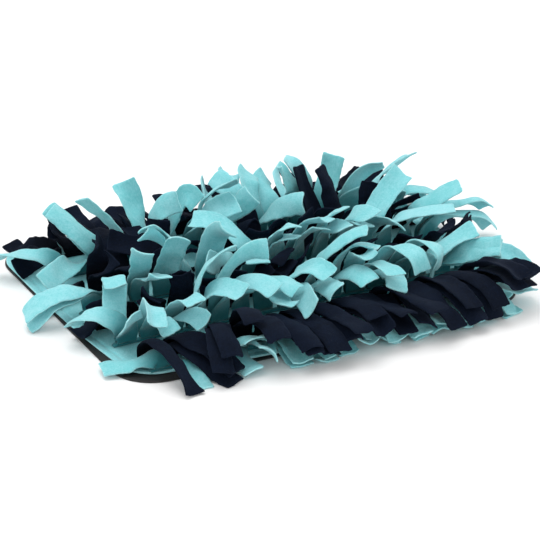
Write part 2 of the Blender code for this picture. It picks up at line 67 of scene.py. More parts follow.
# Frame: the sheets' boxes and the fringe rows, from front to back.
BACKING_LOW, BACKING_HIGH = (np.array(corner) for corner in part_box("backing"))
GROUND_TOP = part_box("ground")[1][2]
ROW_NODES = sorted(name for name in frame["nodes"] if name.startswith("fringe_row_"))
ROW_SLOTS = {entry["node"]: entry["material_slot"] for entry in frame["record"]["subparts"]}
CORNER_RADIUS = 0.045
GROUND_INSET = 0.0015
GROUND_CORNER_INSET = 0.0125
GROUND_CORNER_REACH = 0.095
GROUND_CORNER_SHIFT = 0.020
GROUND_CLEARANCE = 0.0002
OUTLINE_POINTS = 280
# A sheet's rings: the share of the innermost one, how many there are to the edge's band, and how far inside
# the outline the closer ones of the band lie.
SHEET_MIDDLE = 0.03
SHEET_RINGS = 30
SHEET_INSIDES = (0.0135, 0.0115, 0.0100, 0.0090, 0.0080, 0.0070, 0.0060, 0.0045, 0.0030, 0.0018)
EDGE_BAND = 0.016
SEAM_INSIDE = 0.008
SEAM_WIDTH = 0.0016
# How far outside the backing a strip starts to sink to the floor, and over what width it does so.
SINK_START = 0.002
SINK_WIDTH = 0.016
WANDER_COUNTS = (5, 11, 23, 41)
WANDER_SIZES = (0.5, 0.35, 0.25, 0.15)
# Where a strip's solid has its rings, as shares of its length, and the closer rings at its cut end.
STRIP_STATIONS = np.array((0, 3, 6, 10, 15, 20, 24)) / 24.0
END_STATIONS = (0.975, 0.984, 0.991, 0.996, 1.0)
# A strip is gathered to this much less than its width at the root, over this share of its length.
GATHER = 0.16
GATHER_REACH = 0.22
# Waves along a strip, as how many there are and how high each is, for each thing that they bend.
WAVES = {
    "turn": ((1.1,), (0.5,)),
    "edge": ((5, 9, 14), (0.5, 0.35, 0.25)),
    "cup": ((0.6, 1.4), (0.45, 0.3)),
    "curl": ((0.7, 1.7), (0.5, 0.35)),
    "crease": ((0.8, 1.6), (0.5, 0.4)),
    "thickness": ((3, 7), (0.6, 0.4)),
    "rise": ((2, 4), (0.7, 0.4)),
    "tilt": ((3, 6), (0.5, 0.3)),
    "cut": ((0.4, 1.3, 3.1), (0.6, 0.4, 0.35)),
}
# Spreads of the draws from strip to strip, and where the largest of them are held.
TURN_LIMIT, TURN_WAVE_LIMIT = 1.5, 0.6
CORNER_RANGE = (0.4, 1.2)
CUP_SPREAD, CUP_RANGE, CUP_LIMIT = 0.45, (0.5, 1.7), 1.7
CURL_SHARE = 0.45
TIP_MEAN, TIP_SPREAD = 0.3, 0.7
CREASE_SHARE, CREASE_LIMIT = 0.5, 2.2
BESIDE_SPREAD = 0.22
UNEVEN_SHARE = 0.12
# The crease is a V over the width, rounded by this much at its foot and level on the whole.
CREASE_ROUND, CREASE_LEVEL = 0.02, 0.45
# The cut end thins to a rounded edge over this length.
END_ROUND = 0.0012
# A strip's middle stays this many thicknesses above what it lies on.
LYING_SHARE = 0.58
# Steps between the cloth coordinates of the faces and of neighbouring strips, so that no two look alike.
FACE_STEP = 0.003
STRIP_STEP = 0.11
# The heading: steps along it, how far it passes its box, round its girth, and the stitches' swells.
HEADING_STEP = 0.003
HEADING_PAST = 0.001
HEADING_SIDES = 14
HEADING_GIRTH = 0.018
HEADING_ROUND = 0.6
HEADING_END = 0.002
HEADING_SWELLS = ((0.06, 0.0035, 0.0), (0.05, 0.011, 1.0))
SAME_POINT = 0.00001
FEWEST_ON_LINE = 8


class FringeSettings(bpy.types.PropertyGroup):
    """Sizes of the cut fleece strips."""

    thickness: bpy.props.FloatProperty(
        name="Thickness", description="Thickness of the fleece", default=0.0021, unit="LENGTH")
    cup: bpy.props.FloatProperty(
        name="Cup", description="How far a strip's edges curl up or down, as a rule", default=0.0032,
        unit="LENGTH")
    tip_curl: bpy.props.FloatProperty(
        name="Tip curl", description="How far a strip's cut end curls up, as a rule", default=0.0034,
        unit="LENGTH")
    crease: bpy.props.FloatProperty(
        name="Crease", description="How deep the fold along a strip's middle is, as a rule", default=0.0022,
        unit="LENGTH")
    twist: bpy.props.FloatProperty(
        name="Twist", description="How far a strip turns about its own line towards its end, as a rule",
        default=math.radians(10.0), subtype="ANGLE")
    wave: bpy.props.FloatProperty(
        name="Wave", description="Height of the soft waves along a strip", default=0.0006, unit="LENGTH")
    ruffle: bpy.props.FloatProperty(
        name="Ruffle", description="How far the cut edges wander", default=0.00050, unit="LENGTH")
    corner: bpy.props.FloatProperty(
        name="Corner", description="Radius of the corners at the cut end", default=0.0024, unit="LENGTH")
    stations: bpy.props.IntProperty(
        name="Stations", description="Rings along a strip", default=34, min=12, max=80)
    across: bpy.props.IntProperty(
        name="Points across", description="Points across one face of a strip", default=12, min=6, max=24)
    seed: bpy.props.IntProperty(name="Seed", description="Seed of the strips' small curls", default=4)


class ClothSettings(bpy.types.PropertyGroup):
    """Colours of the cloths."""

    aqua: bpy.props.FloatVectorProperty(
        name="Aqua fleece", description="Colour of the ground and half of the fringe", subtype="COLOR",
        default=(0.240, 0.655, 0.685))
    navy: bpy.props.FloatVectorProperty(
        name="Navy fleece", description="Colour of the other half of the fringe", subtype="COLOR",
        default=(0.0026, 0.0056, 0.0145))
    backing: bpy.props.FloatVectorProperty(
        name="Backing", description="Colour of the backing cloth", subtype="COLOR",
        default=(0.0060, 0.0060, 0.0065))


class StudioSettings(bpy.types.PropertyGroup):
    """Floor, light and camera."""

    turn: bpy.props.FloatProperty(
        name="Camera turn", description="How far the camera stands round to the left of the front",
        default=math.radians(-26.9), subtype="ANGLE")
    height: bpy.props.FloatProperty(
        name="Camera height", description="The camera's angle above the floor",
        default=math.radians(24.99), subtype="ANGLE")
    distance: bpy.props.FloatProperty(
        name="Camera distance", description="From the camera to what it looks at", default=3.0,
        unit="LENGTH")
    lens: bpy.props.FloatProperty(
        name="Lens", description="Focal length of the camera", default=197.0, unit="CAMERA")
    target: bpy.props.FloatVectorProperty(
        name="Target", description="The point that the camera looks at", subtype="XYZ",
        default=(-0.0109, -0.0490, 0.0300))


# ---- shapes ----------------------------------------------------------------------------------------------


def smooth(t):
    """Ease from 0 to 1 with level ends: 3t^2 - 2t^3, held outside 0 to 1."""
    t = np.clip(t, 0.0, 1.0)
    return t * t * (3.0 - 2.0 * t)


def unit(vectors):
    """Vectors divided by their lengths."""
    return vectors / np.maximum(np.linalg.norm(vectors, axis=-1, keepdims=True), 1e-9)


def merged_points(node):
    """Points of a node with its loose triangles joined, and which of them are joined by an edge."""
    mesh = bmesh.new()
    mesh.from_mesh(frame["nodes"][node].data)
    bmesh.ops.remove_doubles(mesh, verts=mesh.verts, dist=SAME_POINT)
    mesh.verts.index_update()
    points = np.array([vert.co[:] for vert in mesh.verts])
    ends = np.array([(edge.verts[0].index, edge.verts[1].index) for edge in mesh.edges])
    mesh.free()
    joined = np.zeros((len(points), len(points)), dtype=bool)
    joined[ends[:, 0], ends[:, 1]] = True
    joined[ends[:, 1], ends[:, 0]] = True
    return points, joined


def strip_solids(node):
    """Corner rings of a row's strips, as an array of strips by 7 rings by 4 corners, and the heading's box.

    The heading's top is the level that most points share, on four lines along X. Each strip stands on four of
    its points, and each next ring is made of the four points that an edge joins to the last ring; of the
    orders in which the four can be taken, one alone has every corner joined to its own.
    """
    points, joined = merged_points(node)
    levels, counts = np.unique(points[:, 2].round(5), return_counts=True)
    top = levels[counts.argmax()]
    on_top = np.abs(points[:, 2] - top) < SAME_POINT
    ys, counts = np.unique(points[on_top, 1].round(5), return_counts=True)
    ys = ys[counts >= FEWEST_ON_LINE]
    on_top &= np.isin(points[:, 1].round(5), ys)
    xs = np.unique(points[on_top, 0].round(5))
    if len(ys) != 4:
        raise RuntimeError(f"{node}: the heading's top isn't two plies of strips")
    low = np.array([xs[0], ys[0], points[on_top, 2].mean()])
    high = np.array([xs[-1], ys[-1], low[2]])
    inside = np.all((points[:, :2] > low[:2] - SAME_POINT) & (points[:, :2] < high[:2] + SAME_POINT), axis=1)
    under = inside & (points[:, 2] < top - SAME_POINT)
    bottom = points[under, 2].min()
    heading = on_top | (under & (points[:, 2] < bottom + SAME_POINT))
    low[2] = bottom

    def point_at(x, y):
        gaps = np.hypot(points[on_top, 0] - x, points[on_top, 1] - y)
        return np.flatnonzero(on_top)[gaps.argmin()] if gaps.min() < SAME_POINT * 2 else -1

    roots = []
    for left, right in zip(xs[1:-1], xs[2:]):
        for front, back in (ys[:2], ys[2:]):
            corners = [point_at(left, front), point_at(right, front), point_at(right, back),
                       point_at(left, back)]
            if min(corners) >= 0 and np.sum(joined[corners].any(axis=0) & ~heading) == 4:
                roots.append(corners)
    rings = [np.array(roots)]
    free = ~heading
    orders = np.array(list(permutations(range(4))))
    for _ in STRIP_STATIONS[1:]:
        last = rings[-1]
        near = joined[last].any(axis=1) & free
        if np.any(near.sum(axis=1) != 4):
            raise RuntimeError(f"{node}: a strip's ring isn't made of four points")
        found = np.nonzero(near)[1].reshape(-1, 4)
        links = joined[last[:, :, None], found[:, None, :]]
        fits = links[:, np.arange(4), orders].all(axis=2)
        ring = np.take_along_axis(found, orders[fits.argmax(axis=1)], axis=1)
        free[ring] = False
        rings.append(ring)
    return points[np.stack(rings, axis=1)], low, high


def spline(knots, values, slopes, at):
    """Cubic Hermite curve through values at knots (second axis), with the slopes given there."""
    span = np.clip(np.searchsorted(knots, at, side="right") - 1, 0, len(knots) - 2)
    step = knots[span + 1] - knots[span]
    t = ((at - knots[span]) / step)[:, None]
    step = step[:, None]
    return ((2 * t**3 - 3 * t**2 + 1) * values[:, span] + (t**3 - 2 * t**2 + t) * step * slopes[:, span]
            + (3 * t**2 - 2 * t**3) * values[:, span + 1] + (t**3 - t**2) * step * slopes[:, span + 1])


def knot_slopes(knots, values):
    """Slopes at the knots: the parabola through each knot and its neighbours, one-sided at the ends."""
    step = np.diff(knots)[:, None]
    rate = np.diff(values, axis=1) / step
    slopes = np.empty_like(values)
    slopes[:, 1:-1] = (rate[:, :-1] * step[1:] + rate[:, 1:] * step[:-1]) / (step[1:] + step[:-1])
    slopes[:, 0] = rate[:, 0]
    slopes[:, -1] = rate[:, -1]
    return slopes


def edge_distance(x, y):
    """Distance outside the backing's rounded outline, negative inside it."""
    qx = np.abs(x) - (BACKING_HIGH[0] - CORNER_RADIUS)
    qy = np.abs(y) - (BACKING_HIGH[1] - CORNER_RADIUS)
    return (np.hypot(np.maximum(qx, 0.0), np.maximum(qy, 0.0)) + np.minimum(np.maximum(qx, qy), 0.0)
            - CORNER_RADIUS)


def resting_height(x, y):
    """Height of what a strip lies on: the ground's top inside, easing to the floor outside the backing."""
    return (GROUND_TOP + GROUND_CLEARANCE) * (1.0 - smooth((edge_distance(x, y) - SINK_START) / SINK_WIDTH))


def waves(draw, strips, along, counts, sizes):
    """Sums of sine waves along each strip with random phases, and sizes that fall with the count."""
    total = np.zeros((strips, len(along)))
    for count, size in zip(counts, sizes):
        turns = count * draw.uniform(0.8, 1.25, (strips, 1))
        phase = draw.uniform(0.0, 2.0 * math.pi, (strips, 1))
        total += size * draw.normal(0.0, 1.0, (strips, 1)) * np.sin(2.0 * math.pi * turns * along + phase)
    return total


def closed_strips(points, outline):
    """Quads of strips whose rings are closed loops of points, with both ends capped across the thickness."""
    strips, rings, loop = points.shape[:3]
    index = np.arange(strips * rings * loop).reshape(strips, rings, loop)
    after = np.roll(index, -1, axis=2)
    sides = np.stack([index[:, :-1], after[:, :-1], after[:, 1:], index[:, 1:]], axis=-1).reshape(-1, 4)
    ends = []
    for ring in (0, rings - 1):
        face = index[:, ring]
        near, far = face[:, :outline], np.roll(face[:, ::-1], 1, axis=1)[:, :outline]
        ends.append(np.stack([near[:, :-1], near[:, 1:], far[:, 1:], far[:, :-1]], axis=-1).reshape(-1, 4))
    return sides, ends


def surface(name, points, quads, attributes, material):
    """A mesh object from arrays: points, quads (a repeated number makes a triangle) and point attributes."""
    mesh = bpy.data.meshes.new(name)
    mesh.vertices.add(len(points))
    mesh.vertices.foreach_set("co", np.ascontiguousarray(points, dtype=np.float32).ravel())
    kept = np.ones(quads.shape, dtype=bool)
    kept[:, 1:] = quads[:, 1:] != quads[:, :-1]
    kept[:, -1] &= quads[:, -1] != quads[:, 0]
    sizes = kept.sum(axis=1)
    quads, kept, sizes = quads[sizes > 2], kept[sizes > 2], sizes[sizes > 2]
    corners = quads[kept]
    mesh.loops.add(len(corners))
    mesh.loops.foreach_set("vertex_index", corners.astype(np.int32))
    mesh.polygons.add(len(sizes))
    mesh.polygons.foreach_set("loop_start", np.concatenate([[0], np.cumsum(sizes)[:-1]]).astype(np.int32))
    mesh.update(calc_edges=True)
    shell = bmesh.new()
    shell.from_mesh(mesh)
    bmesh.ops.recalc_face_normals(shell, faces=shell.faces)
    shell.to_mesh(mesh)
    shell.free()
    for label, values in attributes.items():
        kind = "FLOAT_VECTOR" if values.ndim == 2 else "FLOAT"
        layer = mesh.attributes.new(label, kind, "POINT")
        field = "vector" if values.ndim == 2 else "value"
        layer.data.foreach_set(field, np.ascontiguousarray(values, dtype=np.float32).ravel())
    mesh.polygons.foreach_set("use_smooth", np.full(len(mesh.polygons), True))
    mesh.materials.append(material)
    thing = bpy.data.objects.new(name, mesh)
    bpy.context.scene.collection.objects.link(thing)
    return thing


def strip_lines(rings, along):
    """A strip's centre line, its width there, and the unit ways along it, across it and through it.

    The centre and the width's way and length are cubic curves through the solid's rings. The centre leaves
    the root straight up.
    """
    middles = rings.mean(axis=2)
    widths = (rings[:, :, 1] + rings[:, :, 2] - rings[:, :, 0] - rings[:, :, 3]) / 2
    slopes = knot_slopes(STRIP_STATIONS, middles)
    slopes[:, 0] = (0.0, 0.0, 1.0) * np.linalg.norm(slopes[:, 0], axis=1)[:, None]
    centre = spline(STRIP_STATIONS, middles, slopes, along)
    across = spline(STRIP_STATIONS, widths, knot_slopes(STRIP_STATIONS, widths), along)
    width = np.linalg.norm(across, axis=-1)
    tangent = unit(np.gradient(centre, along, axis=1))
    across = unit(across - tangent * np.sum(across * tangent, axis=-1, keepdims=True))
    return centre, width, tangent, across, np.cross(tangent, across)


def strip_surfaces(rings, settings, draw):
    """Points of a row's strips, with their cloth coordinates, distance from the cut edge, tone and reach.

    A point is centre(s) + across(s) * x + through(s) * z, with across and through turned by the twist about
    the centre line. x runs over the width, drawn in at the root and rounded off at the end's corners. With u
    from -1 to 1 over the width, z adds the cup (u^2 - 0.4), a curl of one side against the other
    (u^3 - 0.3 u), the crease (a rounded V), the curl of the cut end and
    soft waves, plus or minus half the thickness, which falls off to the cut edges as the fourth root of
    1 - u^8. The middle never sinks below what the strip lies on. Reach is the distance from the root.
    """
    strips = len(rings)
    body = np.linspace(0.0, 1.0, settings.stations - len(END_STATIONS) + 1)[:-1]
    along = np.concatenate([body * END_STATIONS[0], END_STATIONS])
    centre, width, tangent, across, through = strip_lines(rings, along)
    length = np.linalg.norm(np.diff(centre, axis=1), axis=-1).sum(axis=1)[:, None]
    turn = (draw.normal(0.0, 1.0, (strips, 1)).clip(-TURN_LIMIT, TURN_LIMIT) * smooth((along - 0.35) / 0.65)
            + (waves(draw, strips, along, *WAVES["turn"]).clip(-TURN_WAVE_LIMIT, TURN_WAVE_LIMIT)
               * smooth(along / 0.3)))
    turn = (settings.twist * turn)[..., None]
    across, through = (across * np.cos(turn) + through * np.sin(turn),
                       through * np.cos(turn) - across * np.sin(turn))

    gathered = 1.0 - GATHER * (1.0 - smooth(along / GATHER_REACH))
    to_end = (1.0 - along) * length
    corner = settings.corner * draw.uniform(*CORNER_RANGE, (strips, 1))
    round_off = corner - np.sqrt(np.maximum(corner**2 - np.maximum(corner - to_end, 0.0) ** 2, 0.0))
    half = width * gathered / 2 - round_off
    ragged = [waves(draw, strips, along, *WAVES["edge"]) * settings.ruffle for _ in range(2)]
    cup = draw.normal(0.0, CUP_SPREAD, (strips, 1)) + waves(draw, strips, along, *WAVES["cup"])
    cup = cup * draw.uniform(*CUP_RANGE, (strips, 1))
    cup = np.clip(cup, -CUP_LIMIT, CUP_LIMIT) * settings.cup * (0.35 + 0.65 * smooth(along / 0.3))
    upward = np.where(through[:, -1:, 2] < 0.0, -1.0, 1.0)
    tip = draw.normal(TIP_MEAN, TIP_SPREAD, (strips, 1)) * settings.tip_curl
    tip = tip * smooth((along - 0.62) / 0.38) ** 2
    curl = waves(draw, strips, along, *WAVES["curl"]) * settings.cup * CURL_SHARE * smooth(along / 0.3)
    crease = (draw.normal(0.0, 1.0, (strips, 1)) ** 3 * CREASE_SHARE
              + waves(draw, strips, along, *WAVES["crease"]))
    crease = np.clip(crease, -CREASE_LIMIT, CREASE_LIMIT) * settings.crease * smooth(along / 0.25)
    beside = draw.normal(0.0, BESIDE_SPREAD, (strips, 1, 1))

    spread = np.sin(np.linspace(-1.0, 1.0, settings.across) * math.pi / 2)
    u = np.concatenate([spread, spread[-2:0:-1]])
    side = np.concatenate([np.ones(settings.across), -np.ones(settings.across - 2)])
    side[[0, settings.across - 1]] = 0.0
    swell = side * np.maximum(1.0 - np.abs(u) ** 8, 0.0) ** 0.25
    end_swell = np.sqrt(np.clip(1.0 - (1.0 - to_end / END_ROUND).clip(0.0) ** 2 * 0.9, 0.0, 1.0))
    uneven = 1.0 + UNEVEN_SHARE * waves(draw, strips, along, *WAVES["thickness"])

    x = half[..., None] * u + np.where(u > 0, ragged[0][..., None], ragged[1][..., None]) * np.abs(u) ** 3
    lift = cup[..., None] * (u**2 - 0.4) + curl[..., None] * (u**3 - 0.3 * u) + (tip * upward)[..., None]
    lift = lift + crease[..., None] * (np.sqrt((u - beside) ** 2 + CREASE_ROUND) - CREASE_LEVEL)
    lift = lift + settings.wave * (waves(draw, strips, along, *WAVES["rise"])[..., None]
                                   + waves(draw, strips, along, *WAVES["tilt"])[..., None] * u)
    cut = waves(draw, strips, u, *WAVES["cut"])[:, None] * settings.ruffle
    cut = cut * smooth((along - 0.90) / 0.10)[:, None]
    middle = (centre[:, :, None] + across[:, :, None] * x[..., None] + through[:, :, None] * lift[..., None]
              + tangent[:, :, None] * cut[..., None])
    floor = resting_height(middle[..., 0], middle[..., 1]) + settings.thickness * LYING_SHARE
    settled = smooth(along / 0.08)[:, None] > 0.5
    middle[..., 2] = np.where(settled, np.maximum(middle[..., 2], floor), middle[..., 2])
    thick = settings.thickness / 2 * swell * (end_swell * uneven)[..., None]
    points = middle + through[:, :, None] * thick[..., None]

    number = np.arange(strips)[:, None, None]
    shift = draw.uniform(0.0, 1.0, (strips, 3))[:, None, None]
    from_root = (along * length)[..., None]
    cloth = np.stack(np.broadcast_arrays(x, from_root + 0 * x, FACE_STEP * side + 0 * x), axis=-1)
    cloth = cloth + shift + number[..., None] * STRIP_STEP
    rim = np.minimum((half[..., None] - np.abs(x)).clip(0.0), to_end[..., None])
    tone = np.broadcast_to(draw.normal(0.0, 1.0, (strips, 1, 1)), rim.shape)
    reach = np.broadcast_to(from_root, rim.shape)
    return points, cloth, rim, tone, reach


def heading_surface(low, high):
    """Points of a row's heading: a rounded band along X whose sides swell between the stitches.

    Its section is a superellipse, half the size times sign(t) |t|^0.6 of the cosine and sine, and its two
    ends are flattened.
    """
    count = int((high[0] - low[0]) / HEADING_STEP)
    x = np.linspace(low[0] - HEADING_PAST, high[0] + HEADING_PAST, count)
    angle = np.linspace(0.0, 2.0 * math.pi, HEADING_SIDES, endpoint=False)
    puff = 1.0
    for size, step, phase in HEADING_SWELLS:
        puff = puff + size * np.sin(x / step + phase)[:, None]
    middle, half = (low + high) / 2, (high - low) / 2
    out, rise = (np.sign(turn) * np.abs(turn) ** HEADING_ROUND for turn in (np.cos(angle), np.sin(angle)))
    y = middle[1] + half[1] * puff * out
    z = middle[2] + half[2] * rise
    ends = np.minimum((x - x[0]) / HEADING_END, (x[-1] - x) / HEADING_END).clip(0.25, 1.0)[:, None]
    z = (z - low[2]) * ends + low[2]
    points = np.stack(np.broadcast_arrays(x[:, None], y, z), axis=-1)[None]
    girth = np.broadcast_to(angle / (2.0 * math.pi) * HEADING_GIRTH, points.shape[1:3])
    cloth = np.stack([np.broadcast_to(x[:, None], girth.shape), girth, 0 * girth], axis=-1)[None]
    flat = np.zeros(points.shape[:3])
    # A reach of 0 gives the whole heading the painted shade of the strips' roots.
    return points, cloth, flat + 0.01, flat, flat


# ---- finishes --------------------------------------------------------------------------------------------

# Distances from a strip's root between which its cloth goes from a painted shade, standing in for the shade
# low in the pile, to its own colour; the width of the painted sheen, a lighter colour where the light catches
# a cut edge; and the colour of lint.
PAINTED_SHADE_FROM = 0.004
PAINTED_SHADE_TO = 0.046
PAINTED_SHEEN_WIDTH = 0.0009
LINT_COLOUR = (0.45, 0.50, 0.52, 1.0)


class Socket:
    """A shader value whose operators add Math nodes, or Mix nodes for colours."""

    def __init__(self, tree, link):
        self.tree = tree
        self.link = link

    def node(self, kind, settings=None, inputs=None, output=0):
        """A node of a kind, with its settings made first and then its inputs set or linked."""
        made = self.tree.nodes.new(kind)
        for name, value in (settings or {}).items():
            setattr(made, name, value)
        for name, value in (inputs or {}).items():
            if isinstance(value, Socket):
                self.tree.links.new(value.link, made.inputs[name])
            else:
                made.inputs[name].default_value = value
        return Socket(self.tree, made.outputs[output])

    def math(self, operation, *values):
        return self.node("ShaderNodeMath", {"operation": operation}, dict(enumerate(values)))

    def __add__(self, other):
        return self.math("ADD", self, other)

    def __sub__(self, other):
        return self.math("SUBTRACT", self, other)

    def __mul__(self, other):
        return self.math("MULTIPLY", self, other)

    def __radd__(self, other):
        return self.math("ADD", other, self)

    def __rsub__(self, other):
        return self.math("SUBTRACT", other, self)

    def __rmul__(self, other):
        return self.math("MULTIPLY", other, self)

    def between(self, low, high):
        """Smoothly from 0 at low to 1 at high."""
        return self.node("ShaderNodeMapRange", {"interpolation_type": "SMOOTHSTEP"},
                         {"Value": self, "From Min": low, "From Max": high})

    def mix(self, first, second):
        """A colour from first to second by this value."""
        return self.node("ShaderNodeMix", {"data_type": "RGBA"}, {0: self, 6: first, 7: second}, output=2)

    def noise(self, scale, detail=3.0, roughness=0.6, stretch=(1.0, 1.0, 1.0)):
        """Noise over this vector, about scale features to the metre."""
        place = self.node("ShaderNodeVectorMath", {"operation": "MULTIPLY"}, {0: self, 1: stretch})
        return self.node("ShaderNodeTexNoise", {}, {"Vector": place, "Scale": scale, "Detail": detail,
                                                    "Roughness": roughness})


def finish(name, colour):
    """A material with its Principled shader, and a socket maker for its tree."""
    material = bpy.data.materials.new(name)
    material.use_nodes = True
    tree = material.node_tree
    shader = tree.nodes["Principled BSDF"]
    shader.inputs["Base Color"].default_value = (*colour, 1.0)
    return material, shader, Socket(tree, None)


def shade(colour, *gains):
    """A colour made lighter or darker by one gain or by one for each channel, with its alpha."""
    gains = gains if len(gains) == 3 else gains * 3
    return tuple(min(channel * gain, 1.0) for channel, gain in zip(colour, gains)) + (1.0,)


def fleece(name, colour, painted_sheen_colour, light, dark, painted_root_shade, sheen, sheen_tint, lint):
    """Brushed fleece: a clouded, clumped nap, a painted sheen on the cut edges, a scatter of lint and painted
    shade at the roots.

    The base colour runs from a dark to a light shade with clumps of nap 1 to 4 mm across and is moved a
    little by each strip's own tone. A painted sheen makes it lighter in broken lines within about 1 mm of a
    cut edge, and it goes to a painted shade, standing in for the shade low in the pile, between 46 mm and 4
    mm from the strip's root. Gains are one for each channel.
    """
    material, shader, make = finish(name, colour)
    cloth = make.node("ShaderNodeAttribute", {"attribute_name": "cloth"}, output=1)
    rim = make.node("ShaderNodeAttribute", {"attribute_name": "rim"}, output=2)
    tone = make.node("ShaderNodeAttribute", {"attribute_name": "tone"}, output=2)
    reach = make.node("ShaderNodeAttribute", {"attribute_name": "reach"}, output=2)
    clouds = cloth.noise(70.0, 3.0, 0.55)
    clumps = cloth.noise(330.0, 3.0, 0.65, (1.0, 0.7, 1.0))
    tufts = cloth.noise(900.0, 2.0, 0.6, (1.0, 0.6, 1.0))
    fibres = cloth.noise(1700.0, 2.0, 0.7, (1.0, 0.4, 1.0))
    blend = (clouds * 0.30 + clumps * 0.30 + tufts * 0.40 + tone * 0.030).between(0.30, 0.70)
    base = blend.mix(shade(colour, *dark), shade(colour, *light))
    # Painted sheen: a lighter line within about 1 mm of a cut edge, where the light catches the cut fibres.
    painted_edge_sheen = (1.0 - rim.between(0.0, PAINTED_SHEEN_WIDTH)) * (clumps * 1.4 - 0.26)
    base = painted_edge_sheen.mix(base, (*painted_sheen_colour, 1.0))
    specks = cloth.noise(620.0, 1.0, 0.5).between(0.70, 0.76) * lint
    base = specks.mix(base, LINT_COLOUR)
    # Painted shade: darker towards the strip's root, standing in for the shade low in the pile.
    base = (1.0 - reach.between(PAINTED_SHADE_FROM, PAINTED_SHADE_TO)).mix(base, shade(colour, *painted_root_shade))
    height = clumps * 0.55 + tufts * 0.45 + fibres * 0.50 + clouds * 0.3
    bump = make.node("ShaderNodeBump", {}, {"Height": height, "Strength": 0.75, "Distance": 0.0010})
    tree = material.node_tree
    tree.links.new(base.link, shader.inputs["Base Color"])
    tree.links.new((clumps * 0.08 + 0.88).link, shader.inputs["Roughness"])
    tree.links.new(bump.link, shader.inputs["Normal"])
    shader.inputs["Sheen Weight"].default_value = sheen
    shader.inputs["Sheen Roughness"].default_value = 0.45
    shader.inputs["Sheen Tint"].default_value = (*sheen_tint, 1.0)
    shader.inputs["Specular IOR Level"].default_value = 0.1
    return material


def backing_cloth(name, colour):
    """Dense dark backing cloth with a fine pebbled face."""
    material, shader, make = finish(name, colour)
    place = make.node("ShaderNodeTexCoord", {}, output=3)
    pebbles = place.noise(900.0, 2.0, 0.6)
    clouds = place.noise(60.0, 2.0, 0.5)
    tree = material.node_tree
    base = (pebbles * 0.6 + clouds * 0.4).between(0.3, 0.7).mix(shade(colour, 0.75), shade(colour, 1.5))
    bump = make.node("ShaderNodeBump", {}, {"Height": pebbles, "Strength": 0.6, "Distance": 0.0005})
    tree.links.new(base.link, shader.inputs["Base Color"])
    tree.links.new((clouds * 0.2 + 0.62).link, shader.inputs["Roughness"])
    tree.links.new(bump.link, shader.inputs["Normal"])
    return material


def plain(name, colour, roughness):
    """A plain finish for the studio."""
    material, shader, _ = finish(name, colour)
    shader.inputs["Roughness"].default_value = roughness
    shader.inputs["Specular IOR Level"].default_value = 0.2
    return material


def cloths():
    """The materials by slot, made once."""
    colours = bpy.context.scene.snuffle_cloths
    if "aqua fleece" not in bpy.data.materials:
        # Each fleece's edge colour is its painted sheen along the cut edges, and its darkest gains its
        # painted shade at the strips' roots.
        fleece("aqua fleece", tuple(colours.aqua), painted_sheen_colour=(0.50, 0.86, 0.88), light=(1.34, 1.06, 1.09),
               dark=(0.68, 0.87, 0.88), painted_root_shade=(0.08, 0.24, 0.26), sheen=0.32, sheen_tint=(1.0, 1.0, 1.0),
               lint=0.20)
        fleece("navy fleece", tuple(colours.navy), painted_sheen_colour=(0.006, 0.011, 0.024), light=(1.4, 1.4, 1.4),
               dark=(0.6, 0.6, 0.6), painted_root_shade=(0.25, 0.25, 0.25), sheen=0.05, sheen_tint=(0.20, 0.32, 0.60),
               lint=0.02)
        backing_cloth("backing cloth", tuple(colours.backing))
    return {"aqua_fleece": bpy.data.materials["aqua fleece"],
            "navy_fleece": bpy.data.materials["navy fleece"],
            "backing": bpy.data.materials["backing cloth"]}


# ---- pieces ----------------------------------------------------------------------------------------------


def base_outline(count):
    """Points at even steps round the backing's outline, and the way that faces outward at each.

    Each corner is a quarter circle about its own middle, and straights join the corners.
    """
    turn = math.pi / 2 * (np.arange(4)[:, None] + np.linspace(0.0, 1.0, 13))
    way = np.stack([np.cos(turn), np.sin(turn)], axis=-1)
    middle = np.sign(way[:, 6:7]) * (BACKING_HIGH[:2] - CORNER_RADIUS)
    line = (middle + way * CORNER_RADIUS).reshape(-1, 2)
    line, way = (np.concatenate([part, part[:1]]) for part in (line, way.reshape(-1, 2)))
    reach = np.concatenate([[0.0], np.cumsum(np.linalg.norm(np.diff(line, axis=0), axis=1))])
    at = np.arange(count) / count * reach[-1]
    points, outward = (np.stack([np.interp(at, reach, part[:, axis]) for axis in (0, 1)], axis=1)
                       for part in (line, way))
    return points, unit(outward)


def ground_inset(points):
    """How far the ground is set in from the backing: more around the front left corner, by a bell curve."""
    corner = BACKING_LOW[:2] + (GROUND_CORNER_SHIFT, 0.0)
    away = np.linalg.norm(points - corner, axis=1) / GROUND_CORNER_REACH
    return GROUND_INSET + GROUND_CORNER_INSET * np.exp(-away**2)


